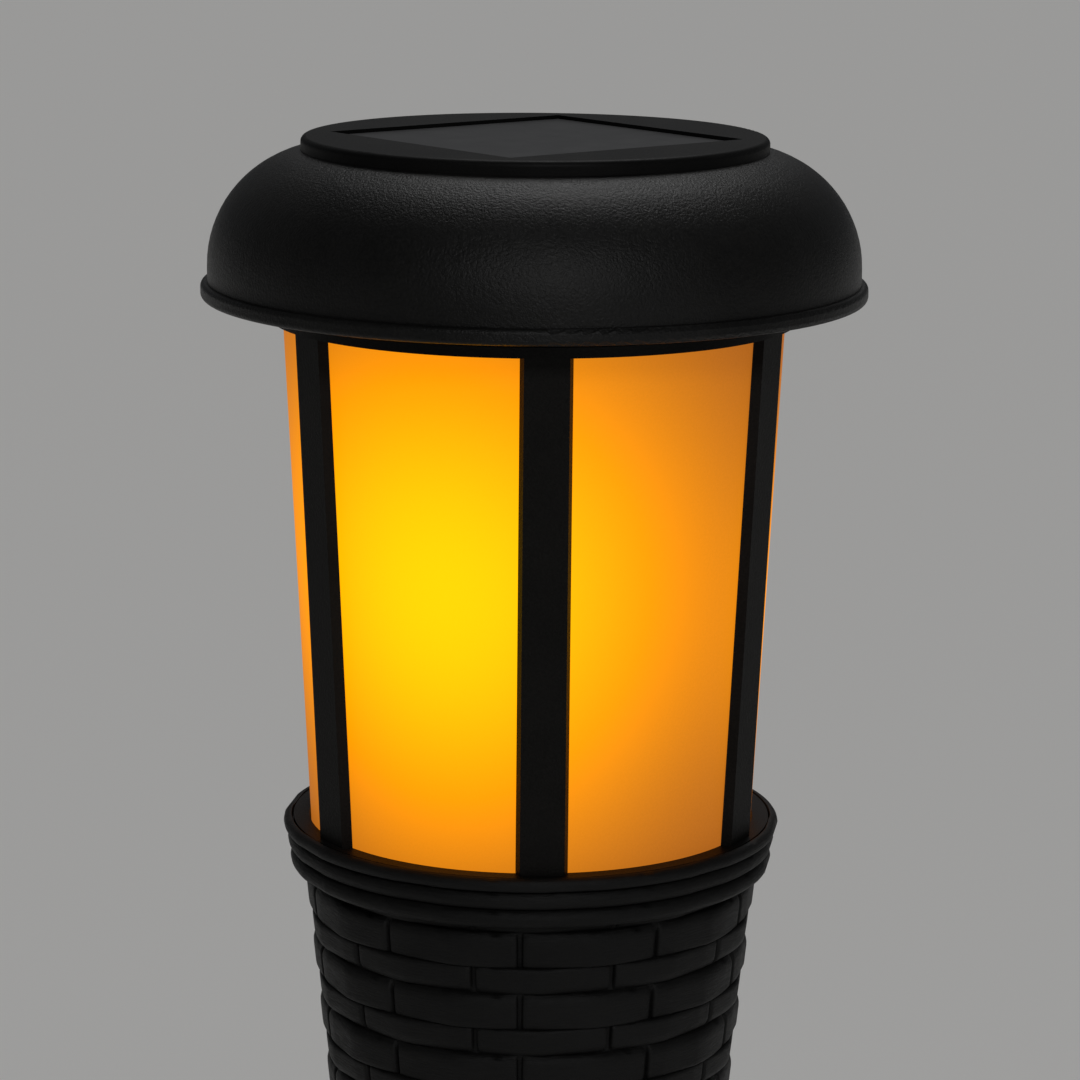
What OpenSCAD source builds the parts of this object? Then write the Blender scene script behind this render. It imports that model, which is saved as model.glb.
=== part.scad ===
// Solar torch light: a hooded lantern on a woven-look basket, on a two-piece pole with a ground stake.
// The origin is on the torch's axis at soil level, the underside of the stake's flange, and +Z is up.
// The heights add up from the soil: stake, poles, socket, basket, lantern, seal, cap.

/* [Ground stake] */
// Length of the stake's blade in the soil
stake_l = 165; // [120:1:220]
// Width of the blade where it leaves the flange
stake_w = 26; // [18:1:40]
// Thickness of the blade's fins
fin_t = 3; // [2:0.5:5]
// Diameter of the flange that stops the stake at soil level
stake_flange_d = 60; // [45:1:90]
// Thickness of that flange
stake_flange_t = 3; // [2:0.5:6]
// Height of the boss that the lower pole stands on
stake_boss_h = 3; // [2:0.5:8]

/* [Pole] */
// Outer diameter of both pole tubes
pole_d = 22; // [18:0.1:27]
// Wall of the pole tubes
pole_wall = 1; // [0.8:0.1:1.6]
// Length of each pole tube
pole_l = 290; // [200:1:400]
// How deep a plug reaches into a tube
plug_l = 35; // [20:1:50]
// Height of the coupler's collar between the two tubes
coupler_collar_h = 6; // [3:0.5:12]
// How far that collar stands out past the tubes
coupler_collar_out = 1.5; // [0.5:0.1:4]

/* [Socket under the basket] */
// Height of the plug's collar on top of the upper pole
plug_collar_h = 2; // [1:0.5:4]
// Diameter of the plug's upper spigot, which the socket turns and lifts on
spigot_d = 16.1; // [12:0.1:16.2]
// Length of that spigot
spigot_l = 20; // [12:1:30]
// How far the socket's skirt hangs over the upper pole
skirt_l = 14; // [6:1:24]
// Wall of the socket's neck
socket_wall = 2.25; // [1.5:0.05:4]
// Thickness of the socket's flange under the basket
socket_flange_t = 4; // [3:0.5:8]

/* [Basket] */
// Height of the basket from its floor to the top of its lip
basket_h = 165; // [130:1:200]
// Outer diameter of the weave at the basket's foot
basket_foot_d = 57.5; // [47.5:0.1:70]
// Wall behind the weave
basket_wall = 2; // [1.5:0.1:3]
// How far the over-strands stand out from the under-strands
weave_depth = 1.6; // [0.8:0.1:2.4]
// Number of rows, each with a wide and a narrow strand
weave_rows = 12; // [8:1:16]
// Share of a row's height that its wide strand takes
wide_share = 0.64; // [0.5:0.01:0.8]
// Height of the plain hem at the foot
hem_h = 5.5; // [3:0.5:10]
// Height of the lip, three stacked beads
lip_h = 10.1; // [8:0.1:16]

/* [Lantern] */
// Outer diameter of the diffuser at the top of the windows
lantern_top_d = 95.8; // [92:0.1:115]
// Outer diameter of the diffuser at the foot of the windows
lantern_foot_d = 86; // [84:0.1:104]
// Height of the windows
window_h = 97.6; // [80:0.1:120]
// Wall of the diffuser
diffuser_wall = 1.5; // [1:0.1:2.5]
// Number of ribs
rib_count = 6; // [4:1:8]
// Width of a rib where it leaves the diffuser
rib_w = 9.8; // [6:0.1:14]
// Width of a rib's outer face
rib_face_w = 8.3; // [5:0.1:12]
// How far a rib stands out past the diffuser
rib_out = 2; // [1.5:0.1:4]
// Turn of the first rib from the front, towards +X
rib_turn = 2.75; // [-30:0.25:30]
// Height of the top ring
ring_h = 2; // [2:0.1:4]

/* [Cap] */
// Overhang of the hood's rim past the lantern's top ring
hood_overhang = 13.2; // [12:0.1:25]
// Height of the hood from its rim to the shelf under the panel's bezel
hood_h = 26.6; // [25:0.1:36]
// Height above the rim where the dome starts to curve in
dome_foot_h = 4.9; // [3:0.1:8]
// Wall of the hood
hood_wall = 2; // [1.5:0.1:3]
// Side of the square solar panel
panel_w = 55; // [40:0.5:66]
// Thickness of the solar panel
panel_t = 2.5; // [2:0.1:4]
// Width of the bezel past the panel's corners
bezel_margin = 5.1; // [3:0.1:10]
// Height of the bezel above the hood
bezel_h = 2.7; // [2:0.1:5]
// Turn of the panel's front corner from the front, towards -X
panel_turn = 6.6; // [-45:0.1:45]
// Thickness of the seal between the cap and the lantern
seal_t = 1.2; // [0.8:0.1:2]
// Turn that locks the cap's lugs under the lantern's ring
lock_turn = 15; // [12:1:30]

/* [Light and power] */
// Length of the light column below the cap's base
led_l = 84; // [60:1:100]
// Outer diameter of the light column's tube
core_d = 24; // [18:0.5:26]
// Columns of lights round the tube
led_columns = 6; // [4:1:8]
// Lights in each column
led_rows = 8; // [4:1:10]
// Diameter of the rechargeable cell
battery_d = 14.2; // [10.5:0.1:14.4]
// Length of the cell
battery_l = 50.5; // [42:0.1:50.6]
// Travel of the switch's knob
switch_travel = 3; // [2:0.5:4]

/* [Hidden] */
$fn = 96;

// Clearances
fit = 0.05;          // running fit of a plug in a tube, or a spigot in a socket
loose = 0.15;        // skirt over the pole
gap = 0.3;           // between curved faces of neighbouring pieces
slip = 0.1;          // between flat faces that only face each other
cut = 0.5;           // how far a cutting shape runs past what it cuts
wire_sides = 8;      // sides of the leads and the spring's wire

// Screws: pan heads and plain shanks for self-tapping screws
screw_r = 1.2;
pilot_r = screw_r + fit;
clear_r = screw_r + 0.5;
head_r = 2.8;
head_h = 2;
boss_r = 3.2;
boss_gap = 0.5;
tip_gap = 1;         // pilot hole left below a screw's tip

// Pole and socket
stake_boss_out = 3;
flange_in = 0.2;
pole_r = pole_d / 2;
tube_r = pole_r - pole_wall;
shank_r = tube_r - fit;
lower_z = stake_flange_t + stake_boss_h;
coupler_z = lower_z + pole_l;
upper_z = coupler_z + coupler_collar_h;
pole_top_z = upper_z + pole_l;
socket_z = pole_top_z + plug_collar_h;
socket_roof = 2;
socket_bore_l = spigot_l + 2;
basket_z = socket_z + socket_bore_l + socket_roof;
skirt_r = pole_r + loose;
neck_r = skirt_r + socket_wall;

// Basket
lip_top_z = basket_z + basket_h;
lip_z = lip_top_z - lip_h;
hem_z = basket_z + hem_h;
foot_r = basket_foot_d / 2;
window_foot_r = lantern_foot_d / 2;
window_top_r = lantern_top_d / 2;
weave_top_out = 1.4;
weave_top_r = window_foot_r + weave_top_out;
row_h = (lip_z - hem_z) / weave_rows;
floor_t = 2.5;
socket_boss_h = 12;
socket_screw_l = 9;
socket_screw_r = foot_r - weave_depth - basket_wall - boss_r - boss_gap;
flange_r = foot_r - flange_in;
hem_out = 0.8;
hem_r = foot_r + hem_out;
// Outer radius of the over-strands at height z
function over_r(z) = foot_r + (weave_top_r - foot_r) * (z - hem_z) / (lip_z - hem_z);
// Inner radius of the basket's wall at height z
function wall_r(z) = over_r(z) - weave_depth - basket_wall;

// Lantern: the frame's foot ring stands inside the basket's lip
ledge_z = lip_top_z - slip;
window_top_z = ledge_z + window_h;
ring_top_z = window_top_z + ring_h;
// Outer radius of the diffuser at height z
function diffuser_r(z) = window_foot_r + (window_top_r - window_foot_r) * (z - ledge_z) / window_h;
ring_r = window_top_r + rib_out + gap;
hook_t = 1.2;
foot_wall = 1.6;
foot_ring_r = window_foot_r + gap;
foot_out_r = foot_ring_r + foot_wall;
ledge_t = 1.5;
ledge_out = 1.5;
ledge_r = foot_out_r + ledge_out;
foot_t = 2;
frame_screw_in = 6.5;
frame_screw_l = 5;
frame_screw_r = window_foot_r - frame_screw_in;
foot_hole_r = frame_screw_r - frame_screw_in;
seat_t = 2.5;
seat_z = lip_z + seat_t;
baffle_t = 1;
baffle_r = frame_screw_r - boss_r - boss_gap;

// The basket's lip round that ring: its bore, its wall and how far each bead stands out, from the top
lip_bore_r = foot_out_r + gap;
lip_wall = 1.3;
lip_wall_r = lip_bore_r + lip_wall;
top_bead_h = 2.7;
bead_outs = [5.3, 4.5, 4];

// Cap: a base with a collar on the seal, a spigot through the ring and three lugs under it
collar_h = 3.7;
collar_z = ring_top_z + seal_t;
base_z = collar_z + collar_h;
base_t = 2.4;
rim_up = 1.5;
rim_z = base_z - rim_up;
bead_r = 1;
bead_h = 3.1;
bead_drop = 1.2;
bead_out = 1.3;
rim_r = ring_r + hood_overhang + slip;
hood_r = rim_r - bead_out;
shelf_z = rim_z + hood_h;
bezel_r = (panel_w + 2 * gap) / sqrt(2) + bezel_margin;
shelf_r = bezel_r + slip;
dome_z = rim_z + dome_foot_h;
dome_w = hood_r - shelf_r;
dome_h = shelf_z - dome_z;
dome_r = (dome_w ^ 2 + dome_h ^ 2) / (2 * dome_w);
dome_c = hood_r - dome_r;
panel_sink = 0.7;
pad_t = 0.5;
panel_top_z = shelf_z + bezel_h - panel_sink;
panel_z = panel_top_z - panel_t;
pocket_z = panel_z - pad_t;
roof_t = 1.6;
roof_z = pocket_z - roof_t;
lead_hole_r = 2.5;
base_r = hood_r - hood_wall - gap;
hood_screw_in = 2.7;
hood_screw_l = 8;
hood_screw_r = base_r - boss_r - hood_screw_in;
hood_screw_count = 4;
lug_count = 3;
lug_deg = 12;
lug_slack_deg = 2;
stop_deg = 4;
stop_gap_deg = 1;
lug_t = 1.6;
lug_out = 1.2;
cap_spigot_r = window_top_r - diffuser_wall - lug_out - gap;
cap_spigot_wall = 1.4;
hook_r = cap_spigot_r + gap;
lug_top_z = ring_top_z - hook_t - 2 * slip;
cap_spigot_z = lug_top_z - lug_t - 2 * slip;

// Light column
core_r = core_d / 2;
core_wall = 1.2;
core_flange_out = 3.5;
core_flange_r = core_r + core_flange_out;
core_flange_t = 2;
flex_t = 0.3;
flex_edge = 2;
led_w = 2.8;
led_t = 0.8;
led_edge = 7;
led_z = base_z - led_l;
led_lead_drop = 6;   // depth below the base where its leads pass through the tube, behind the film
led_lead_z = base_z - led_lead_drop;
led_lead_deg = [60, 120];

// Cell, its box and its cover, in the base beside the light column
battery_r = battery_d / 2;
nub_l = 1;
nub_r = 2.7;
cell_gap = 0.6;
box_gap = 0.5;
box_wall = 1;
box_w = battery_d + 2 * loose;
spring_l = 4;
box_l = battery_l + spring_l;
battery_y = -(core_flange_r + box_gap + box_wall + box_w / 2);
cover_t = 1.4;
cover_lip = 1;
cover_round = 2;
battery_z = base_z + cover_t + cell_gap + battery_r;
box_top_z = battery_z + battery_r + cell_gap;
contact_t = 0.4;
contact_w = 8;
contact_drop = 5;
tab_h = 2;
screw_edge = 4;
cover_screw_x = box_l / 2 - screw_edge;

// Circuit board, switch and leads
board_w = 44;
board_d = 22;
board_t = 1.6;
board_y = core_flange_r + box_gap + board_d / 2;
board_screw_l = 4;
switch_w = 8.5;
switch_d = 3.7;
switch_h = 3.5;
switch_gap = 0.5;
board_z = base_z + base_t + switch_gap + switch_h;
board_top_z = board_z + board_t;
board_screw_x = board_w / 2 - screw_edge;
switch_off = 2;
switch_y = board_y + switch_off;
knob_w = 2;
knob_d = 1.6;
knob_out = 1.8;

// Leads: each leaves and arrives square to its pad
lead_r = 0.6;
lead_stub = 1.5;
lead_hole = lead_r + slip;
pad_in = 3;
pad_y = board_y - board_d / 2 + pad_in;

// ---- shared shapes ----

module tube(z, h, r_out, r_in) {
    translate([0, 0, z])
        difference() {
            cylinder(h = h, r = r_out);
            translate([0, 0, -cut])
                cylinder(h = h + 2 * cut, r = r_in);
        }
}

module disc(z, h, r) {
    translate([0, 0, z])
        cylinder(h = h, r = r);
}

// Half-plane box from r0 to r1 and z0 to z1, for turning
module section(r0, r1, z0, z1) {
    translate([r0, z0])
        square([r1 - r0, z1 - z0]);
}

// One pan-head screw that points up, its head's top face at height z
module screw_up(z, grip) {
    disc(z - head_h, head_h, head_r);
    disc(z - slip, grip + slip, screw_r);
}

// Children repeated round the axis at radius r
module around(count, r, start = 0) {
    for (i = [0:count - 1])
        rotate([0, 0, start + i * 360 / count])
            translate([r, 0, 0])
                children();
}

// Flat rounded rectangle, centred
module rounded(w, d, r) {
    square([w - 2 * r, d], center = true);
    square([w, d - 2 * r], center = true);
    for (x = [-1, 1], y = [-1, 1])
        translate([x * (w / 2 - r), y * (d / 2 - r)])
            circle(r = r);
}

// A round wire of radius r along a list of points
function along(p, i) = p[min(i + 1, len(p) - 1)] - p[max(i - 1, 0)];
function unit(v) = v / norm(v);
function wire_ring(p, i, r) =
    let (t = unit(along(p, i)), a = unit(cross(t, [0.31, 0.52, 0.8])), b = cross(t, a))
    [for (k = [0:wire_sides - 1])
        p[i] + r * (cos(k * 360 / wire_sides) * a + sin(k * 360 / wire_sides) * b)];
module wire(p, r) {
    n = len(p);
    s = wire_sides;
    skin = [for (i = [0:n - 2], k = [0:s - 1])
        [i * s + k, (i + 1) * s + k, (i + 1) * s + (k + 1) % s, i * s + (k + 1) % s]];
    ends = [[for (k = [0:s - 1]) k], [for (k = [s - 1:-1:0]) (n - 1) * s + k]];
    polyhedron(points = [for (i = [0:n - 1]) each wire_ring(p, i, r)], faces = concat(skin, ends));
}
// Points along a smooth bend from a to d that leaves towards b and arrives from c
function bend(a, b, c, d, n = 14) =
    [for (i = [0:n]) let (t = i / n, u = 1 - t)
        u ^ 3 * a + 3 * u ^ 2 * t * b + 3 * u * t ^ 2 * c + t ^ 3 * d];
// The same bend with a straight stub at each end, along a's way out and d's way out
function lead(a, out_a, d, out_d, reach) =
    let (a1 = a + lead_stub * out_a, d1 = d + lead_stub * out_d)
    concat([a], bend(a1, a1 + reach * out_a, d1 + reach * out_d, d1), [d]);

// ---- ground stake and pole ----

module ground_stake() {
    shoulder = stake_l * 0.12;
    half = stake_w / 2;
    color("#262626") {
        disc(0, stake_flange_t, stake_flange_d / 2);
        disc(stake_flange_t, stake_boss_h, pole_r + stake_boss_out);
        disc(lower_z, plug_l, shank_r);
        for (a = [45, 135])
            rotate([90, 0, a])
                translate([0, 0, -fin_t / 2])
                    linear_extrude(height = fin_t)
                        polygon([[half, cut], [half, -shoulder], [fin_t / 2, -stake_l],
                            [-fin_t / 2, -stake_l], [-half, -shoulder], [-half, cut]]);
    }
}

module lower_pole() {
    color("#1d1d1d")
        tube(lower_z, pole_l, pole_r, tube_r);
}

module pole_coupler() {
    color("#262626") {
        disc(coupler_z - plug_l, plug_l, shank_r);
        disc(coupler_z, coupler_collar_h, pole_r + coupler_collar_out);
        disc(upper_z, plug_l, shank_r);
    }
}

module upper_pole() {
    color("#1d1d1d")
        tube(upper_z, pole_l, pole_r, tube_r);
}

module pole_top_plug() {
    color("#262626") {
        disc(pole_top_z - plug_l, plug_l, shank_r);
        disc(pole_top_z, plug_collar_h, pole_r);
        disc(socket_z, spigot_l, spigot_d / 2);
    }
}

// ---- basket ----

module pole_socket() {
    flare_gap = 0.8;
    flare_l = 12;
    edge = 1;
    flare_r = max(neck_r, socket_screw_r - head_r - flare_gap);
    flange_z = basket_z - socket_flange_t;
    color("#202020")
        difference() {
            rotate_extrude()
                polygon([[0, pole_top_z - skirt_l], [neck_r, pole_top_z - skirt_l],
                    [neck_r, flange_z - flare_l], [flare_r, flange_z], [flange_r - edge, flange_z],
                    [flange_r, flange_z + edge], [flange_r, basket_z], [0, basket_z]]);
            disc(pole_top_z - skirt_l - cut, skirt_l + plug_collar_h + cut, skirt_r);
            disc(socket_z - cut, socket_bore_l + cut, spigot_d / 2 + fit);
            around(3, socket_screw_r, 90)
                disc(flange_z - cut, socket_flange_t + 2 * cut, clear_r);
        }
}

module socket_screws() {
    color("silver")
        around(3, socket_screw_r, 90)
            screw_up(basket_z - socket_flange_t, socket_flange_t + socket_screw_l);
}

// Outline of one bead of the lip, with its top at z
module lip_bead(z, h, r) {
    section(lip_bore_r, r - h / 2, z - h, z);
    translate([r - h / 2, z - h / 2])
        circle(r = h / 2);
}

module basket() {
    low_bead_h = (lip_h - top_bead_h) / 2;
    // A strand's outline: share of its height, and how far in
    chamfer = [[0, 1.2], [0.2, 0], [0.8, 0], [1, 1.2]];
    strands = [for (k = [weave_rows - 1:-1:0], s = [0, 1])
        let (top = hem_z + (k + 1) * row_h, mid = top - wide_share * row_h, bottom = hem_z + k * row_h)
        s == 0 ? [top, mid] : [mid, bottom]];
    color("#232323")
        difference() {
            union() {
                // Woven wall: every strand is a chamfered band round the basket
                rotate_extrude()
                    polygon(concat(
                        [for (s = strands, q = chamfer)
                            let (z = s[0] + q[0] * (s[1] - s[0]))
                            [over_r(z) - q[1], z]],
                        [[wall_r(hem_z), hem_z], [wall_r(lip_z), lip_z]]));
                // Lip: a step for the frame's foot ring and three beads
                rotate_extrude()
                    difference() {
                        union() {
                            section(wall_r(lip_z), lip_wall_r, lip_z, lip_z + 2 * low_bead_h);
                            lip_bead(lip_top_z, top_bead_h, window_foot_r + bead_outs[0]);
                            lip_bead(lip_z + 2 * low_bead_h, low_bead_h, window_foot_r + bead_outs[1]);
                            lip_bead(lip_z + low_bead_h, low_bead_h, window_foot_r + bead_outs[2]);
                        }
                        section(0, ledge_r + gap, ledge_z - ledge_t - slip, lip_top_z + cut);
                        section(0, lip_bore_r, seat_z, lip_top_z);
                    }
                // Seat for the lantern frame
                tube(lip_z, seat_t, lip_bore_r + slip, foot_hole_r);
                // Hem and floor
                tube(basket_z, hem_h, hem_r, wall_r(hem_z));
                tube(basket_z, floor_t, foot_r, neck_r + gap);
                around(3, socket_screw_r, 90)
                    disc(basket_z, socket_boss_h, boss_r);
            }
            around(3, socket_screw_r, 90)
                disc(basket_z - cut, socket_screw_l + tip_gap + cut, pilot_r);
            around(3, frame_screw_r, 90)
                disc(lip_z - cut, seat_t + 2 * cut, clear_r);
        }
}

// ---- lantern ----

module rib_cutter() {
    past = 2;
    back = gap + slip;
    translate([0, 0, ledge_z - past])
        cylinder(h = window_h + 2 * past, r1 = diffuser_r(ledge_z - past) + back,
            r2 = diffuser_r(window_top_z + past) + back);
}

module rib() {
    lean = atan((window_top_r - window_foot_r) / window_h);
    root_in = 2;
    side = (rib_w - rib_face_w) / 2 / rib_out;
    translate([0, -window_foot_r, ledge_z])
        rotate([lean, 0, 0])
            translate([0, 0, -cut])
                linear_extrude(height = window_h / cos(lean) + 2 * cut)
                    polygon([[-rib_face_w / 2, -rib_out], [rib_face_w / 2, -rib_out],
                        [rib_w / 2 + side * root_in, root_in], [-rib_w / 2 - side * root_in, root_in]]);
}

module lantern_frame() {
    color("#1e1e1e")
        difference() {
            union() {
                // Top ring, with the inner hook that the cap's lugs turn under
                tube(window_top_z, ring_h, ring_r, window_top_r + gap);
                tube(ring_top_z - hook_t, hook_t, ring_r, hook_r);
                // Ribs
                difference() {
                    for (i = [0:rib_count - 1])
                        rotate([0, 0, rib_turn + i * 360 / rib_count])
                            rib();
                    rib_cutter();
                }
                // Foot: a ledge over the basket's lip, a ring inside it and a flange on its seat
                tube(ledge_z - ledge_t, ledge_t, ledge_r, foot_ring_r);
                tube(seat_z, ledge_z - seat_z, foot_out_r, foot_ring_r);
                tube(seat_z, foot_t, foot_out_r, foot_hole_r);
                around(3, frame_screw_r, 90)
                    disc(seat_z, ledge_z - seat_z - boss_gap, boss_r);
                // Stops for the cap's lugs, at the end of their turn
                for (i = [0:lug_count - 1])
                    rotate([0, 0, i * 360 / lug_count - lug_deg / 2 - lock_turn - stop_gap_deg - stop_deg])
                        rotate_extrude(angle = stop_deg)
                            section(hook_r + slip, cap_spigot_r + lug_out, lug_top_z - lug_t,
                                ring_top_z - hook_t / 2);
            }
            for (i = [0:lug_count - 1])
                rotate([0, 0, i * 360 / lug_count - lug_deg / 2 - lug_slack_deg])
                    rotate_extrude(angle = lug_deg + 2 * lug_slack_deg)
                        section(hook_r - 1, cap_spigot_r + lug_out + gap, ring_top_z - hook_t - cut,
                            ring_top_z + cut);
            around(3, frame_screw_r, 90)
                disc(seat_z - cut, frame_screw_l + tip_gap + cut, pilot_r);
        }
}

module diffuser() {
    z0 = seat_z + foot_t;
    z1 = ring_top_z - hook_t - slip;
    color("#ffb020")
        rotate_extrude()
            polygon([[diffuser_r(z0), z0], [diffuser_r(z1), z1], [diffuser_r(z1) - diffuser_wall, z1],
                [diffuser_r(z0) - diffuser_wall, z0]]);
}

module light_baffle() {
    color("white")
        disc(seat_z + foot_t, baffle_t, baffle_r);
}

module frame_screws() {
    color("silver")
        around(3, frame_screw_r, 90)
            screw_up(lip_z, seat_t + frame_screw_l);
}

// ---- cap ----

module cap_seal() {
    seal_in = 0.6;
    color("#101010")
        tube(ring_top_z, seal_t, ring_r - seal_in, cap_spigot_r + lug_out + 2 * gap);
}

module cap_base() {
    board_posts = [[-board_screw_x, board_y], [board_screw_x, board_y]];
    color("#1e1e1e")
        difference() {
            union() {
                disc(base_z, base_t, base_r);
                tube(collar_z, collar_h, ring_r, cap_spigot_r - cap_spigot_wall);
                tube(cap_spigot_z, base_z - cap_spigot_z, cap_spigot_r, cap_spigot_r - cap_spigot_wall);
                for (i = [0:lug_count - 1])
                    rotate([0, 0, i * 360 / lug_count - lug_deg / 2])
                        rotate_extrude(angle = lug_deg)
                            section(cap_spigot_r - slip, cap_spigot_r + lug_out,
                                lug_top_z - lug_t, lug_top_z);
                translate([-box_l / 2 - box_wall, battery_y - box_w / 2 - box_wall, base_z])
                    cube([box_l + 2 * box_wall, box_w + 2 * box_wall, box_top_z + box_wall - base_z]);
                for (p = board_posts)
                    translate([p[0], p[1], 0])
                        disc(base_z, board_z - base_z, boss_r);
            }
            // Cell box, open below, with its cover's rebate and two slots for the contacts' tabs
            translate([-box_l / 2, battery_y - box_w / 2, base_z - cut])
                cube([box_l, box_w, box_top_z - base_z + cut]);
            translate([0, battery_y, base_z - cut])
                linear_extrude(height = cover_t + cut)
                    rounded(box_l + 2 * cover_lip + 2 * slip, box_w + 2 * cover_lip + 2 * slip, cover_round);
            for (x = [-1, 1])
                translate([x * (box_l / 2 - contact_t / 2), battery_y, box_top_z])
                    cube([contact_t + 2 * slip, contact_w + 2 * gap, 4 * box_wall], center = true);
            // Light column, hood screws, board screws and the switch's slot
            disc(base_z - cut, base_t + 2 * cut, core_r + flex_t + led_t + 2 * gap);
            around(hood_screw_count, hood_screw_r, 45)
                disc(base_z - cut, base_t + 2 * cut, clear_r);
            for (p = board_posts)
                translate([p[0], p[1], 0])
                    disc(board_z - board_screw_l - tip_gap, board_screw_l + tip_gap + cut, pilot_r);
            translate([-knob_w / 2 - gap, switch_y - knob_d / 2 - gap, base_z - cut])
                cube([knob_w + switch_travel + 2 * gap, knob_d + 2 * gap, base_t + 2 * cut]);
        }
}

// Solid of the hood's outside
module hood_outside() {
    rotate_extrude()
        intersection() {
            union() {
                translate([dome_c, dome_z])
                    circle(r = dome_r);
                section(0, max(dome_c, 0), dome_z, dome_z + dome_r);
                section(0, hood_r, rim_z - bead_drop + bead_r, dome_z);
                section(0, rim_r - bead_r, rim_z - bead_drop, rim_z - bead_drop + bead_h);
                for (z = [rim_z - bead_drop + bead_r, rim_z - bead_drop + bead_h - bead_r])
                    translate([rim_r - bead_r, z])
                        circle(r = bead_r);
                section(0, rim_r, rim_z - bead_drop + bead_r, rim_z - bead_drop + bead_h - bead_r);
            }
            section(0, rim_r, rim_z - bead_drop, shelf_z);
        }
}

// Solid of the hood's hollow
module hood_inside() {
    rotate_extrude()
        intersection() {
            union() {
                translate([dome_c, dome_z])
                    circle(r = dome_r - hood_wall);
                section(0, max(dome_c, 0), dome_z, dome_z + dome_r);
                section(0, hood_r - hood_wall, rim_z - bead_drop - cut, dome_z);
            }
            section(0, rim_r, rim_z - bead_drop - cut, roof_z);
        }
}

module panel_hole(clearance, z, h) {
    translate([0, 0, z + h / 2])
        rotate([0, 0, 45 - panel_turn])
            cube([panel_w + 2 * clearance, panel_w + 2 * clearance, h], center = true);
}

module hood() {
    color("#1a1a1a")
        difference() {
            union() {
                difference() {
                    hood_outside();
                    hood_inside();
                }
                intersection() {
                    hood_outside();
                    around(hood_screw_count, hood_screw_r, 45)
                        disc(base_z + base_t, hood_h, boss_r);
                }
            }
            panel_hole(gap, pocket_z, shelf_z - pocket_z + cut);
            disc(roof_z - cut, roof_t + 2 * cut, lead_hole_r);
            around(hood_screw_count, hood_screw_r, 45)
                disc(base_z + base_t - cut, hood_screw_l + tip_gap + cut, pilot_r);
        }
}

module panel_bezel() {
    edge_r = 1.1;
    color("#141414")
        difference() {
            rotate_extrude() {
                section(0, bezel_r, shelf_z, shelf_z + bezel_h - edge_r);
                section(0, bezel_r - edge_r, shelf_z, shelf_z + bezel_h);
                translate([bezel_r - edge_r, shelf_z + bezel_h - edge_r])
                    circle(r = edge_r);
            }
            panel_hole(gap, shelf_z - cut, bezel_h + 2 * cut);
        }
}

module solar_panel() {
    color("#2b2b33")
        panel_hole(0, panel_z, panel_t);
}

module panel_pad() {
    edge = 2;
    color("white")
        difference() {
            panel_hole(-edge, pocket_z, pad_t);
            disc(pocket_z - cut, pad_t + 2 * cut, lead_hole_r + gap);
        }
}

module hood_screws() {
    color("silver")
        around(hood_screw_count, hood_screw_r, 45)
            screw_up(base_z, base_t + hood_screw_l);
}

// ---- light and power ----

module led_core() {
    color("white")
        difference() {
            union() {
                tube(base_z + base_t, core_flange_t, core_flange_r, core_r - core_wall);
                tube(led_z, led_l + base_t, core_r, core_r - core_wall);
                disc(led_z, core_wall, core_r);
            }
            for (a = led_lead_deg)
                rotate([0, 0, a])
                    translate([core_r - core_wall - cut, 0, led_lead_z])
                        rotate([0, 90, 0])
                            cylinder(h = core_wall + 2 * cut, r = lead_hole);
        }
}

module led_flex() {
    color("ivory")
        tube(led_z + flex_edge, led_l - 2 * flex_edge, core_r + fit + flex_t, core_r + fit);
}

module leds() {
    pitch = (led_l - 2 * led_edge) / led_rows;
    color("gold")
        for (k = [0:led_rows - 1])
            around(led_columns, core_r + 2 * fit + flex_t)
                translate([0, -led_w / 2, led_z + led_edge + (k + 0.5) * pitch - led_w / 2])
                    cube([led_t, led_w, led_w]);
}

module battery() {
    color("green")
        translate([-box_l / 2 + contact_t + nub_l, battery_y, battery_z])
            rotate([0, 90, 0]) {
                cylinder(h = battery_l - nub_l, r = battery_r);
                translate([0, 0, -nub_l])
                    cylinder(h = nub_l + cut, r = nub_r);
            }
}

// Plate at one end of the cell's box, centred on x
module end_plate(x) {
    low = battery_z - contact_drop;
    translate([x - contact_t / 2, battery_y - contact_w / 2, low])
        cube([contact_t, contact_w, box_top_z + tab_h - low]);
}

// Coil spring and its plate at the cell's flat end
module battery_spring() {
    turns = 3;
    steps = 12;
    last = turns * steps;
    wire_r = 0.35;
    small_r = 2.6;
    grow = 2;
    x1 = box_l / 2 - contact_t;
    x0 = -box_l / 2 + contact_t + battery_l + slip + wire_r;
    color("silver") {
        end_plate(box_l / 2 - contact_t / 2);
        wire([for (i = [0:last])
            let (a = i * 360 / steps, r = small_r + grow * i / last)
            [x0 + (x1 - x0) * i / last, battery_y + r * cos(a), battery_z + r * sin(a)]], wire_r);
    }
}

module battery_contact() {
    color("silver")
        end_plate(-box_l / 2 + contact_t / 2);
}

module battery_cover() {
    color("#262626")
        difference() {
            translate([0, battery_y, base_z])
                linear_extrude(height = cover_t - slip)
                    rounded(box_l + 2 * cover_lip, box_w + 2 * cover_lip, cover_round);
            translate([cover_screw_x, battery_y, 0])
                disc(base_z - cut, cover_t + 2 * cut, clear_r);
        }
}

module cover_screw() {
    color("silver")
        translate([cover_screw_x, battery_y, 0]) {
            disc(base_z - head_h / 2, head_h / 2, head_r);
            disc(base_z - slip, cover_t + slip, screw_r);
        }
}

module circuit_board() {
    color("darkgreen")
        difference() {
            translate([-board_w / 2, board_y - board_d / 2, board_z])
                cube([board_w, board_d, board_t]);
            for (x = [-1, 1])
                translate([x * board_screw_x, board_y, 0])
                    disc(board_z - cut, board_t + 2 * cut, clear_r);
        }
}

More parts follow.
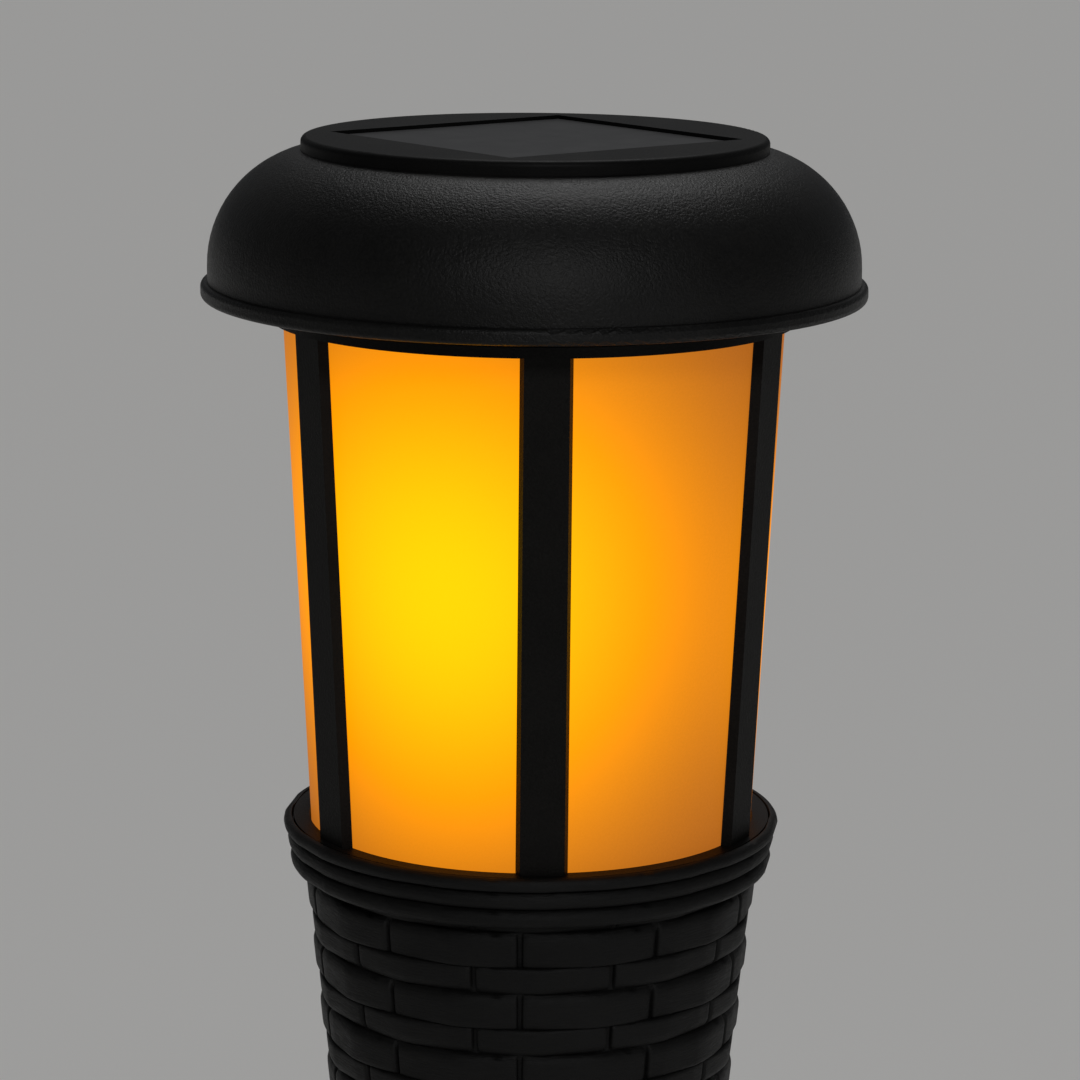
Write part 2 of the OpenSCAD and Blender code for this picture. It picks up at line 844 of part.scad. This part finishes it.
module board_parts() {
    // Round parts: place on the board from its middle, radius, height
    round_parts = [[-9, 4, 3.5, 4], [10, 5, 2.5, 6]];
    chip = [5, 4, 1.5];
    chip_at = [2, 2];
    color("#404040") {
        for (p = round_parts)
            translate([p[0], board_y + p[1], 0])
                disc(board_top_z, p[3], p[2]);
        translate([chip_at[0], board_y + chip_at[1], board_top_z])
            cube(chip);
    }
}

module board_screws() {
    color("silver")
        for (x = [-1, 1])
            translate([x * board_screw_x, board_y, 0]) {
                disc(board_top_z, head_h / 2, head_r);
                disc(board_z - board_screw_l, board_t + board_screw_l + slip, screw_r);
            }
}

module switch_body() {
    color("silver")
        translate([(switch_travel - switch_w) / 2, switch_y - switch_d / 2, board_z - switch_h])
            cube([switch_w, switch_d, switch_h]);
}

module switch_knob() {
    color("black")
        translate([-knob_w / 2, switch_y - knob_d / 2, base_z - knob_out])
            cube([knob_w, knob_d, board_z - switch_h - slip - base_z + knob_out]);
}

module panel_leads() {
    panel_pad_x = 1.2;
    board_pad_x = 3;
    reach = 4;
    color("red")
        for (s = [-1, 1])
            wire(lead([s * panel_pad_x, 0, panel_z], [0, 0, -1],
                [s * board_pad_x, pad_y, board_top_z], [0, 0, 1], reach), lead_r);
}

module battery_leads() {
    board_pad_x = 13;
    reach = 2;
    color("black")
        for (s = [-1, 1])
            wire(lead([s * (box_l - contact_t) / 2, battery_y, box_top_z + tab_h], [0, 0, 1],
                [s * board_pad_x, pad_y, board_top_z], [0, 0, 1], reach), lead_r);
}

module led_leads() {
    rise_in = 4;
    rise_up = 12;
    inner_r = core_r - core_wall - lead_r - gap;
    board_pad_x = 7;
    color("blue")
        for (a = led_lead_deg)
            let (way = [cos(a), sin(a), 0], rise = (inner_r - rise_in) * way,
                top = [rise[0], rise[1], base_z + base_t + core_flange_t],
                pad = [sign(way[0]) * board_pad_x, pad_y, board_top_z])
            wire(concat(
                [core_r * way + [0, 0, led_lead_z]],
                bend(inner_r * way + [0, 0, led_lead_z], rise + [0, 0, led_lead_z],
                    rise + [0, 0, led_lead_z], top, 8),
                bend(top + [0, 0, lead_stub], top + [0, 0, rise_up],
                    pad + [0, 0, rise_up], pad + [0, 0, lead_stub]),
                [pad]), lead_r);
}

panel_bezel();
solar_panel();
panel_pad();
hood();
cap_base();
hood_screws();
battery();
battery_spring();
battery_contact();
battery_cover();
cover_screw();
circuit_board();
board_parts();
board_screws();
switch_body();
switch_knob();
panel_leads();
battery_leads();
led_leads();
led_core();
led_flex();
leds();
cap_seal();
lantern_frame();
diffuser();
light_baffle();
frame_screws();
basket();
pole_socket();
socket_screws();
pole_top_plug();
upper_pole();
pole_coupler();
lower_pole();
ground_stake();
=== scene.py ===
"""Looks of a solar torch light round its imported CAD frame: materials, the woven basket, studio and camera.

Units are metres, in the frame's own axes: the torch stands on +Z, and -Y is its front.
Angles round the torch are in degrees from the front, positive towards +X.
"""
import math

import bpy
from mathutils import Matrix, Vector


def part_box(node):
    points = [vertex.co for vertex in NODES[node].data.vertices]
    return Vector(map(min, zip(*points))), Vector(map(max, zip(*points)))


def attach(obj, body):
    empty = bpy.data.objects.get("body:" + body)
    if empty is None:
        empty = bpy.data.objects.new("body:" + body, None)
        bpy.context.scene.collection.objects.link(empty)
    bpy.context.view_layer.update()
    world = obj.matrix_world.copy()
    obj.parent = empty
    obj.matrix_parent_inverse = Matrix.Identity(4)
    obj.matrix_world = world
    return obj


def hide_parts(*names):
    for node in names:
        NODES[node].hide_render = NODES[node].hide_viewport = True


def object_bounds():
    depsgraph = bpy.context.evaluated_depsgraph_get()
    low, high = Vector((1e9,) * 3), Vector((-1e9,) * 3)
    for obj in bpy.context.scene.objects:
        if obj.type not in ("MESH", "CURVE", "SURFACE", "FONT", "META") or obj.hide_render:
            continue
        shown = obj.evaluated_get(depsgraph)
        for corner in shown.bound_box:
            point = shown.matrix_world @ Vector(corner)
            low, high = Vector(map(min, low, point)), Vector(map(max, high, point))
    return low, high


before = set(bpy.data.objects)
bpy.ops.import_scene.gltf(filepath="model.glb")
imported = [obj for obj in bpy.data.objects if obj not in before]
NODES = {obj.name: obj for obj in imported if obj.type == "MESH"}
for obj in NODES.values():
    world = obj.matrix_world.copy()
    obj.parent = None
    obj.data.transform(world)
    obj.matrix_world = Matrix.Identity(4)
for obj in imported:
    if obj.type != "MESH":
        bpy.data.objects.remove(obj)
CAD_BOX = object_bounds()
MM = 0.001

# ---- places, from the frame ----

HOOD_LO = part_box("hood")[0]
BASKET_LO, BASKET_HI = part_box("basket")
BEAD_DROP = 1.2 * MM          # how far the rim's bead hangs below the rim's plane
RIM_Z = HOOD_LO.z + BEAD_DROP


# ---- shared helpers ----

def new_material(name):
    """A node material's tree, its Principled shader and a function that adds nodes."""
    material = bpy.data.materials.new(name)
    material.use_nodes = True
    tree = material.node_tree
    shader = tree.nodes["Principled BSDF"]

    def add(kind, inputs=None, **settings):
        node = tree.nodes.new(kind)
        for key, value in settings.items():
            setattr(node, key, value)
        for key, value in (inputs or {}).items():
            if isinstance(value, bpy.types.NodeSocket):
                tree.links.new(value, node.inputs[key])
            else:
                node.inputs[key].default_value = value
        return node

    return material, tree, shader, add


def math_node(add, operation, a, b=0.0):
    return add("ShaderNodeMath", {0: a, 1: b}, operation=operation).outputs[0]


def ramp(add, factor, stops):
    """Colour ramp through stops, each a place and a grey level or a colour."""
    node = add("ShaderNodeValToRGB", {"Fac": factor})
    elements = node.color_ramp.elements
    while len(elements) < len(stops):
        elements.new(0.5)
    for element, (place, value) in zip(elements, stops):
        element.position = place
        colour = value if isinstance(value, tuple) else (value, value, value)
        element.color = (*colour, 1.0)
    return node.outputs["Color"]


def wear_material(name, dark, light, rough, grain, depth, dust=0.0, coat=0.0, shine=0.13):
    """Moulded plastic: spark-eroded grain that varies the sheen, slow changes of tone, dust on top faces."""
    material, tree, shader, add = new_material(name)
    place = add("ShaderNodeTexCoord").outputs["Object"]
    slow = add("ShaderNodeTexNoise", {"Vector": place, "Scale": 45.0, "Detail": 5.0, "Roughness": 0.6})
    fine = add("ShaderNodeTexNoise", {"Vector": place, "Scale": grain, "Detail": 3.0, "Roughness": 0.65})
    tone = ramp(add, slow.outputs["Fac"], [(0.3, dark), (0.72, light)])
    speck = ramp(add, fine.outputs["Fac"], [(0.35, 0.72), (0.7, 1.25)])
    colour = add("ShaderNodeMix", {0: 1.0, 6: tone, 7: speck}, data_type="RGBA", blend_type="MULTIPLY")
    base = colour.outputs[2]
    if dust:
        up = add("ShaderNodeSeparateXYZ", {0: add("ShaderNodeNewGeometry").outputs["Normal"]}).outputs["Z"]
        top = ramp(add, up, [(0.55, 0.0), (1.0, 1.0)])
        drift = ramp(add, slow.outputs["Fac"], [(0.42, 0.0), (0.75, 1.0)])
        amount = math_node(add, "MULTIPLY", math_node(add, "MULTIPLY", top, drift), dust)
        base = add("ShaderNodeMix", {0: amount, 6: base, 7: (0.16, 0.15, 0.13, 1.0)},
                   data_type="RGBA").outputs[2]
    tree.links.new(base, shader.inputs["Base Color"])
    low, high = rough
    roughness = add("ShaderNodeMapRange", {"Value": fine.outputs["Fac"], "From Min": 0.3, "From Max": 0.7,
                                           "To Min": low, "To Max": high})
    tree.links.new(roughness.outputs[0], shader.inputs["Roughness"])
    bump = add("ShaderNodeBump", {"Height": fine.outputs["Fac"], "Strength": 0.6, "Distance": depth})
    tree.links.new(bump.outputs[0], shader.inputs["Normal"])
    shader.inputs["Coat Weight"].default_value = coat
    shader.inputs["Specular IOR Level"].default_value = shine
    return material


def dress(node, material):
    """Gives a CAD node one material."""
    mesh = NODES[node].data
    mesh.materials.clear()
    mesh.materials.append(material)


def even_shading(node):
    """Shades a CAD node by its larger faces, with corners over 30 degrees kept sharp."""
    corners = NODES[node].modifiers.new("corners", "EDGE_SPLIT")
    corners.split_angle = math.radians(30)
    shading = NODES[node].modifiers.new("shading", "WEIGHTED_NORMAL")
    shading.keep_sharp = True


def build_mesh(name, points, faces, material, smooth=True):
    mesh = bpy.data.meshes.new(name)
    mesh.from_pydata(points, [], faces)
    mesh.update()
    for polygon in mesh.polygons:
        polygon.use_smooth = smooth
    mesh.materials.append(material)
    piece = bpy.data.objects.new(name, mesh)
    bpy.context.collection.objects.link(piece)
    return piece


# ---- materials ----

GLOW_FLOOR = 0.075            # green between the spots
# Each spot's angle, depth below the rim, height reach, narrowness round the lantern and strength
GLOW_SPOTS = (
    (-21.5, 50 * MM, 43.8 * MM, 2.45, 0.60),
    (108.0, 60 * MM, 34 * MM, 4.0, 0.34),
    (-152.0, 42 * MM, 38 * MM, 4.0, 0.42),
)
RED_PER_GREEN = 3.1
RED_FLOOR = 0.04
RED_LIMIT = 1.15


def glow_material():
    """Frosted diffuser lit from inside: warm spots that fade up, down and round the lantern."""
    material, tree, shader, add = new_material("lit_diffuser")
    place = add("ShaderNodeTexCoord").outputs["Object"]
    x, y, z = add("ShaderNodeSeparateXYZ", {0: place}).outputs
    flat = add("ShaderNodeCombineXYZ", {0: x, 1: y, 2: 0.0}).outputs[0]
    facing = add("ShaderNodeVectorMath", {0: flat}, operation="NORMALIZE").outputs["Vector"]

    def spot(angle, below_rim, reach, narrowness, strength):
        turn = math.radians(angle)
        towards = (math.sin(turn), -math.cos(turn), 0.0)
        aim = add("ShaderNodeVectorMath", {0: facing, 1: towards}, operation="DOT_PRODUCT").outputs["Value"]
        round_fall = math_node(add, "MULTIPLY", math_node(add, "SUBTRACT", aim, 1.0), narrowness)
        rise = math_node(add, "DIVIDE", math_node(add, "SUBTRACT", z, RIM_Z - below_rim), reach)
        fall = math_node(add, "SUBTRACT", round_fall, math_node(add, "MULTIPLY", rise, rise))
        return math_node(add, "MULTIPLY", math_node(add, "EXPONENT", fall), strength)

    total = spot(*GLOW_SPOTS[0])
    for values in GLOW_SPOTS[1:]:
        total = math_node(add, "ADD", total, spot(*values))
    green = math_node(add, "ADD", total, GLOW_FLOOR)
    red = math_node(add, "ADD", math_node(add, "MULTIPLY", green, RED_PER_GREEN), RED_FLOOR)
    red = math_node(add, "MINIMUM", red, RED_LIMIT)
    blue = add("ShaderNodeMapRange", {"Value": green, "From Min": 0.12, "From Max": 0.34, "To Min": 0.012,
                                      "To Max": 0.0}).outputs[0]
    colour = add("ShaderNodeCombineColor", {0: red, 1: green, 2: blue}).outputs[0]
    tree.links.new(colour, shader.inputs["Emission Color"])
    shader.inputs["Emission Strength"].default_value = 1.0
    frost = add("ShaderNodeTexNoise", {"Vector": place, "Scale": 2600.0, "Detail": 2.0})
    tint = ramp(add, frost.outputs["Fac"], [(0.35, (0.16, 0.055, 0.001)), (0.65, (0.19, 0.065, 0.0015))])
    tree.links.new(tint, shader.inputs["Base Color"])
    bump = add("ShaderNodeBump", {"Height": frost.outputs["Fac"], "Strength": 0.2, "Distance": 0.03 * MM})
    tree.links.new(bump.outputs[0], shader.inputs["Normal"])
    shader.inputs["Roughness"].default_value = 0.62
    shader.inputs["Specular IOR Level"].default_value = 0.08
    return material


PANEL_TURN = math.radians(45.0 - 6.6)   # the lines' direction, along the turned panel's side
CELL_PITCH = 6.1 * MM


def panel_material():
    """Thin-film solar cell under satin resin, with hairlines between its cells."""
    material, tree, shader, add = new_material("solar_cell")
    place = add("ShaderNodeTexCoord").outputs["Object"]
    turned = add("ShaderNodeMapping", {"Vector": place, "Rotation": (0, 0, PANEL_TURN)}).outputs[0]
    across = add("ShaderNodeSeparateXYZ", {0: turned}).outputs["X"]
    saw = math_node(add, "FRACT", math_node(add, "DIVIDE", across, CELL_PITCH))
    line = ramp(add, saw, [(0.0, 1.0), (0.03, 0.0), (0.97, 0.0), (1.0, 1.0)])
    cloud = add("ShaderNodeTexNoise", {"Vector": place, "Scale": 180.0, "Detail": 4.0})
    film = ramp(add, cloud.outputs["Fac"], [(0.35, (0.030, 0.030, 0.031)), (0.7, (0.038, 0.038, 0.039))])
    colour = add("ShaderNodeMix", {0: math_node(add, "MULTIPLY", line, 0.35), 6: film,
                                   7: (0.006, 0.006, 0.007, 1.0)}, data_type="RGBA")
    tree.links.new(colour.outputs[2], shader.inputs["Base Color"])
    haze = add("ShaderNodeMapRange", {"Value": cloud.outputs["Fac"], "To Min": 0.30, "To Max": 0.40})
    tree.links.new(haze.outputs[0], shader.inputs["Roughness"])
    shader.inputs["Specular IOR Level"].default_value = 0.12
    return material


def metal_material(name, colour, roughness):
    material, tree, shader, add = new_material(name)
    place = add("ShaderNodeTexCoord").outputs["Object"]
    grain = add("ShaderNodeTexNoise", {"Vector": place, "Scale": 900.0, "Detail": 4.0})
    low = tuple(0.75 * c for c in colour)
    tree.links.new(ramp(add, grain.outputs["Fac"], [(0.3, low), (0.7, colour)]), shader.inputs["Base Color"])
    spread = add("ShaderNodeMapRange", {"Value": grain.outputs["Fac"], "To Min": roughness * 0.8,
                                        "To Max": roughness * 1.3})
    tree.links.new(spread.outputs[0], shader.inputs["Roughness"])
    shader.inputs["Metallic"].default_value = 1.0
    return material


def plain_material(name, colour, roughness, spread=0.12, emission=0.0):
    """Small inner parts: one colour with slight cloudiness."""
    material, tree, shader, add = new_material(name)
    place = add("ShaderNodeTexCoord").outputs["Object"]
    cloud = add("ShaderNodeTexNoise", {"Vector": place, "Scale": 320.0, "Detail": 4.0})
    low = tuple(c * (1 - spread) for c in colour)
    tree.links.new(ramp(add, cloud.outputs["Fac"], [(0.3, low), (0.7, colour)]), shader.inputs["Base Color"])
    rough = add("ShaderNodeMapRange", {"Value": cloud.outputs["Fac"], "To Min": roughness * 0.85,
                                       "To Max": roughness * 1.15})
    tree.links.new(rough.outputs[0], shader.inputs["Roughness"])
    if emission:
        shader.inputs["Emission Color"].default_value = (*colour, 1.0)
        shader.inputs["Emission Strength"].default_value = emission
    return material


def weave_material():
    """Black moulded weave: fine fibres that run along the strands, under a moulded grain."""
    material, tree, shader, add = new_material("woven_plastic")
    place = add("ShaderNodeTexCoord").outputs["Object"]
    stretched = add("ShaderNodeMapping", {"Vector": place, "Scale": (1.0, 1.0, 9.0)}).outputs[0]
    fibre = add("ShaderNodeTexNoise", {"Vector": stretched, "Scale": 330.0, "Detail": 5.0, "Roughness": 0.7})
    grain = add("ShaderNodeTexNoise", {"Vector": place, "Scale": 2600.0, "Detail": 2.0})
    slow = add("ShaderNodeTexNoise", {"Vector": place, "Scale": 38.0, "Detail": 4.0})
    tone = ramp(add, slow.outputs["Fac"], [(0.3, (0.003, 0.003, 0.0029)), (0.7, (0.006, 0.0059, 0.0057))])
    streak = ramp(add, fibre.outputs["Fac"], [(0.3, 0.65), (0.7, 1.3)])
    colour = add("ShaderNodeMix", {0: 1.0, 6: tone, 7: streak}, data_type="RGBA", blend_type="MULTIPLY")
    tree.links.new(colour.outputs[2], shader.inputs["Base Color"])
    rough = add("ShaderNodeMapRange", {"Value": fibre.outputs["Fac"], "From Min": 0.3, "From Max": 0.7,
                                       "To Min": 0.42, "To Max": 0.62})
    tree.links.new(rough.outputs[0], shader.inputs["Roughness"])
    ridges = add("ShaderNodeBump", {"Height": fibre.outputs["Fac"], "Strength": 0.7, "Distance": 0.25 * MM})
    bump = add("ShaderNodeBump", {"Height": grain.outputs["Fac"], "Strength": 0.4, "Distance": 0.05 * MM,
                                  "Normal": ridges.outputs[0]})
    tree.links.new(bump.outputs[0], shader.inputs["Normal"])
    shader.inputs["Specular IOR Level"].default_value = 0.12
    return material


def dress_frame():
    """Every CAD node that stays visible gets its material."""
    black = wear_material("moulded_black", (0.004, 0.004, 0.0038), (0.0075, 0.0073, 0.007), (0.34, 0.46),
                          grain=1800.0, depth=0.32 * MM, dust=0.03)
    bezel = wear_material("bezel_black", (0.003, 0.003, 0.0029), (0.0055, 0.0054, 0.0052), (0.42, 0.55),
                          grain=3400.0, depth=0.05 * MM, dust=0.02, shine=0.05)
    ribs = wear_material("frame_black", (0.004, 0.0037, 0.0033), (0.007, 0.0064, 0.0058), (0.40, 0.55),
                         grain=2400.0, depth=0.15 * MM, dust=0.02, shine=0.06)
    inner = wear_material("inner_black", (0.010, 0.010, 0.010), (0.016, 0.016, 0.016), (0.5, 0.62),
                          grain=3200.0, depth=0.04 * MM)
    tube = wear_material("pole_black", (0.007, 0.007, 0.007), (0.012, 0.012, 0.012), (0.34, 0.46),
                         grain=4200.0, depth=0.02 * MM, coat=0.1)
    steel = metal_material("zinc_steel", (0.62, 0.62, 0.64), 0.32)
    nickel = metal_material("nickel", (0.7, 0.68, 0.62), 0.28)
    white = plain_material("white_moulding", (0.8, 0.79, 0.75), 0.5)
    looks = {
        bezel: ["panel_bezel"],
        ribs: ["lantern_frame"],
        black: ["hood", "pole_socket", "pole_coupler", "ground_stake"],
        inner: ["cap_base", "battery_cover", "pole_top_plug", "switch_knob"],
        tube: ["upper_pole", "lower_pole"],
        steel: ["hood_screws", "cover_screw", "board_screws", "frame_screws", "socket_screws",
                "switch_body"],
        nickel: ["battery_spring", "battery_contact"],
        white: ["led_core", "light_baffle", "panel_pad"],
        panel_material(): ["solar_panel"],
        glow_material(): ["diffuser"],
        plain_material("seal_rubber", (0.018, 0.018, 0.018), 0.8): ["cap_seal"],
        plain_material("cell_sleeve", (0.06, 0.26, 0.11), 0.35): ["battery"],
        plain_material("solder_mask", (0.02, 0.14, 0.05), 0.35): ["circuit_board"],
        plain_material("component_black", (0.03, 0.03, 0.032), 0.45): ["board_parts"],
        plain_material("lead_red", (0.45, 0.03, 0.02), 0.4): ["panel_leads"],
        plain_material("lead_black", (0.02, 0.02, 0.02), 0.4): ["battery_leads"],
        plain_material("lead_yellow", (0.6, 0.42, 0.04), 0.4): ["led_leads"],
        plain_material("film", (0.72, 0.66, 0.5), 0.4): ["led_flex"],
        plain_material("lamp", (0.95, 0.62, 0.16), 0.3, emission=0.8): ["leds"],
    }
    for material, nodes in looks.items():
        for node in nodes:
            dress(node, material)
    even_shading("hood")


# ---- woven basket ----

WEAVE_ROWS = 12               # rows, each with a wide and a narrow strand
REPEATS = 10                  # slits round each strand
SLIT_HALF = 0.55              # half a slit's width, in degrees
STRAND_T = 1.7 * MM           # from the outermost point of a strand to the bottom of a groove
DIVE = 0.6 * MM               # how much lower a strand lies at its slits than between them
TUCK = 1.7 * MM               # how far the first wide strand's top lies below the lip
# Share of a row's height, first slit, groove depth and rounding at the top, and the same at the bottom
WIDE = {"share": 0.56, "first": -2.5, "top": (1.7 * MM, 0.34), "bottom": (0.45 * MM, 0.12)}
NARROW = {"share": 0.44, "first": 21.5, "top": (0.6 * MM, 0.16), "bottom": (1.7 * MM, 0.42)}
ROW_STEPS = (0.0, 0.04, 0.1, 0.17, 0.25, 0.36, 0.5, 0.64, 0.75, 0.84, 0.92, 0.97, 1.0)
SLIT_STEPS = (0.0, 0.25, 0.45, 0.6, 0.8, 1.2, 2.2, 4.0, 6.0)   # columns beside a slit, in degrees
HEM_H = 5.5 * MM
HEM_OUT = 0.8 * MM            # how far the hem stands out past the foot of the weave
EDGE_R = 0.8 * MM             # rounding of the hem's edges
WALL_T = 3.6 * MM
FLOOR_T = 2.5 * MM
FLOOR_HOLE_R = 13.7 * MM
# Height and outer radius of each bead of the lip, from the top down
BEADS = ((2.7 * MM, 48.3 * MM), (3.7 * MM, 47.5 * MM), (3.7 * MM, 47.0 * MM))
LIP_H = sum(bead[0] for bead in BEADS)
LIP_Z = BASKET_HI.z - LIP_H
HEM_Z = BASKET_LO.z + HEM_H
FOOT_R = 28.75 * MM
WEAVE_TOP_R = 44.4 * MM
SEAT_T = 2.5 * MM             # shelf inside the lip that carries the lantern
SEAT_HOLE_R = 30.0 * MM
LIP_BORE_R = 45.2 * MM
MOUTH_R = 46.7 * MM           # the wider bore at the lip's mouth
MOUTH_DEPTH = 1.7 * MM


def weave_radius(z):
    """Outer radius of the strands at height z."""
    return FOOT_R + (WEAVE_TOP_R - FOOT_R) * (z - HEM_Z) / (LIP_Z - HEM_Z)


def ring_angles():
    """Angles of the mesh's columns: close together at each slit, wide apart between them."""
    steps = sorted({-a for a in SLIT_STEPS} | set(SLIT_STEPS))
    pitch = 360.0 / REPEATS
    return sorted((strand["first"] + k * pitch + step) % 360.0
                  for strand in (WIDE, NARROW) for k in range(REPEATS) for step in steps)


def from_slit(angle, first):
    """Distance in degrees to the nearest slit of a strand whose first slit is at the angle first."""
    pitch = 360.0 / REPEATS
    return abs((angle - first + pitch / 2) % pitch - pitch / 2)


def rounded_edge(share, depth, reach):
    """Depth at a share of the strand's height from an edge that is rounded over the share reach."""
    if share >= reach:
        return 0.0
    return depth * (1.0 - math.sqrt(1.0 - (1.0 - share / reach) ** 2))


def strand_depth(angle, share, strand):
    """Depth below the outermost radius, at a share of the strand's height from its top."""
    off = from_slit(angle, strand["first"])
    slit = STRAND_T / (1.0 + (off / SLIT_HALF) ** 6)
    dive = DIVE * (0.5 + 0.5 * math.cos(math.radians(off * REPEATS)))
    edges = rounded_edge(share, *strand["top"]) + rounded_edge(1.0 - share, *strand["bottom"])
    return min(STRAND_T, dive + edges + slit)


def bead_profile(top, height, radius, steps=8):
    """Points (z, r) down a bead's rounded outside."""
    half = height / 2
    turns = [math.pi * i / steps for i in range(steps + 1)]
    return [(top - half + half * math.cos(a), radius - half * (1.0 - math.sin(a))) for a in turns]


def basket_profile():
    """Rings of the basket's skin from the lip's mouth, down the outside, and back up the inside.

    Each ring is its height, its radius, and for a strand the share of its height and the strand."""
    mouth = BASKET_HI.z - MOUTH_DEPTH
    lip = [(mouth, MOUTH_R), (BASKET_HI.z - 0.3 * MM, MOUTH_R)]
    lip += [(BASKET_HI.z - 0.06 * MM, MOUTH_R + 0.1 * MM), (BASKET_HI.z, MOUTH_R + 0.3 * MM)]
    top = BASKET_HI.z
    for height, radius in BEADS:
        lip += bead_profile(top, height, radius)
        top -= height

    strands = []
    row_h = (LIP_Z - HEM_Z) / WEAVE_ROWS
    z = LIP_Z - TUCK + row_h * NARROW["share"]
    for strand in [NARROW] + [WIDE, NARROW] * WEAVE_ROWS:
        height = row_h * strand["share"]
        for t in ROW_STEPS:
            here = z - height * t
            if HEM_Z < here < LIP_Z:
                strands.append((here, weave_radius(here), (t, strand)))
        z -= height

    hem_r = FOOT_R + HEM_OUT
    floor_z = BASKET_LO.z + FLOOR_T
    hem = [(HEM_Z - 0.05 * MM, hem_r - 0.6 * MM), (HEM_Z - 0.3 * MM, hem_r - 0.15 * MM)]
    hem += [(HEM_Z - EDGE_R, hem_r), (BASKET_LO.z + EDGE_R, hem_r)]
    hem += [(BASKET_LO.z + 0.25 * MM, hem_r - 0.2 * MM), (BASKET_LO.z, hem_r - EDGE_R)]
    inside = [(BASKET_LO.z, FLOOR_HOLE_R), (floor_z, FLOOR_HOLE_R), (floor_z, FOOT_R - WALL_T)]
    inside += [(LIP_Z, WEAVE_TOP_R - WALL_T), (LIP_Z, SEAT_HOLE_R), (LIP_Z + SEAT_T, SEAT_HOLE_R)]
    inside += [(LIP_Z + SEAT_T, LIP_BORE_R), (mouth, LIP_BORE_R)]
    return [(z, r, None) for z, r in lip] + strands + [(z, r, None) for z, r in hem + inside]


def woven_basket(material):
    """The basket's skin: three beads round its lip, rows of wide and narrow strands, and a plain hem."""
    angles = ring_angles()
    rings = basket_profile()
    points, faces = [], []
    for z, radius, strand in rings:
        for angle in angles:
            r = radius - (strand_depth(angle, *strand) if strand else 0.0)
            a = math.radians(angle)
            points.append((r * math.sin(a), -r * math.cos(a), z))
    n, count = len(angles), len(rings)
    for i in range(count):
        for k in range(n):
            above, below = i * n, (i + 1) % count * n
            faces.append((above + k, below + k, below + (k + 1) % n, above + (k + 1) % n))
    piece = build_mesh("woven_basket", points, faces, material)
    piece.data.set_sharp_from_angle(angle=math.radians(50))
    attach(piece, "head")
    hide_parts("basket")
    return piece


# ---- studio and camera ----

FLOOR_HALF = 30.0             # half of the floor's side
FLOOR_GAP = 1.0 * MM          # from the stake's tip to the floor


def studio_floor():
    """Pale floor just under the stake's tip."""
    material, _, shader, _ = new_material("studio_floor")
    shader.inputs["Base Color"].default_value = (0.84, 0.83, 0.81, 1.0)
    shader.inputs["Roughness"].default_value = 0.9
    low = CAD_BOX[0].z - FLOOR_GAP
    corners = [(x * FLOOR_HALF, y * FLOOR_HALF, low) for x, y in ((-1, -1), (1, -1), (1, 1), (-1, 1))]
    floor = build_mesh("studio_floor", corners, [(0, 1, 2, 3)], material, smooth=False)


def sky():
    """Faint even light from all round."""
    world = bpy.data.worlds.new("studio")
    bpy.context.scene.world = world
    world.use_nodes = True
    background = world.node_tree.nodes["Background"]
    background.inputs["Color"].default_value = (0.95, 0.97, 1.0, 1.0)
    background.inputs["Strength"].default_value = 0.09


def lights():
    """A wide sun from high behind, a front light on the lantern and a weak one that fills the pole."""
    overhead = bpy.data.lights.new("overhead", "SUN")
    overhead.energy = 1.1
    overhead.angle = math.radians(30)
    lamp = bpy.data.objects.new("overhead", overhead)
    lamp.rotation_euler = (math.radians(-34), math.radians(4), 0)
    bpy.context.collection.objects.link(lamp)
    lantern = Vector((0, 0, RIM_Z - 0.03))
    soft_light("front", (0.20, -1.55, RIM_Z + 0.80), lantern, size=0.26, power=10.0)
    soft_light("pole_fill", (1.0, -1.6, 0.5), Vector((0, 0, 0.1)), size=0.9, power=2.5)


def soft_light(name, place, target, size, power):
    """A square area light that faces a point."""
    lamp = bpy.data.lights.new(name, "AREA")
    lamp.size = size
    lamp.energy = power
    light = bpy.data.objects.new(name, lamp)
    light.location = place
    light.rotation_euler = (target - Vector(place)).to_track_quat("-Z", "Y").to_euler()
    bpy.context.collection.objects.link(light)


CAMERA_BACK = 0.7507          # from the torch's axis
CAMERA_UP = 0.1074            # above the rim
CAMERA_AIM_DOWN = 0.0489      # below the rim
CAMERA_ROLL = 0.39            # degrees


def camera():
    """Slightly above the lantern, looking down on it from the front."""
    lens = bpy.data.cameras.new("camera")
    lens.sensor_width = 36.0
    lens.lens = 132.31
    lens.shift_x = 0.0068
    eye = Vector((0.0, -CAMERA_BACK, RIM_Z + CAMERA_UP))
    aim = Vector((0.0, 0.0, RIM_Z - CAMERA_AIM_DOWN))
    holder = bpy.data.objects.new("camera", lens)
    bpy.context.collection.objects.link(holder)
    holder.location = eye
    holder.rotation_euler = (aim - eye).to_track_quat("-Z", "Y").to_euler()
    holder.rotation_euler.rotate_axis("Z", math.radians(CAMERA_ROLL))
    bpy.context.scene.camera = holder


camera()
dress_frame()
woven_basket(weave_material())
studio_floor()
sky()
lights()
bpy.context.scene.view_settings.view_transform = "Standard"
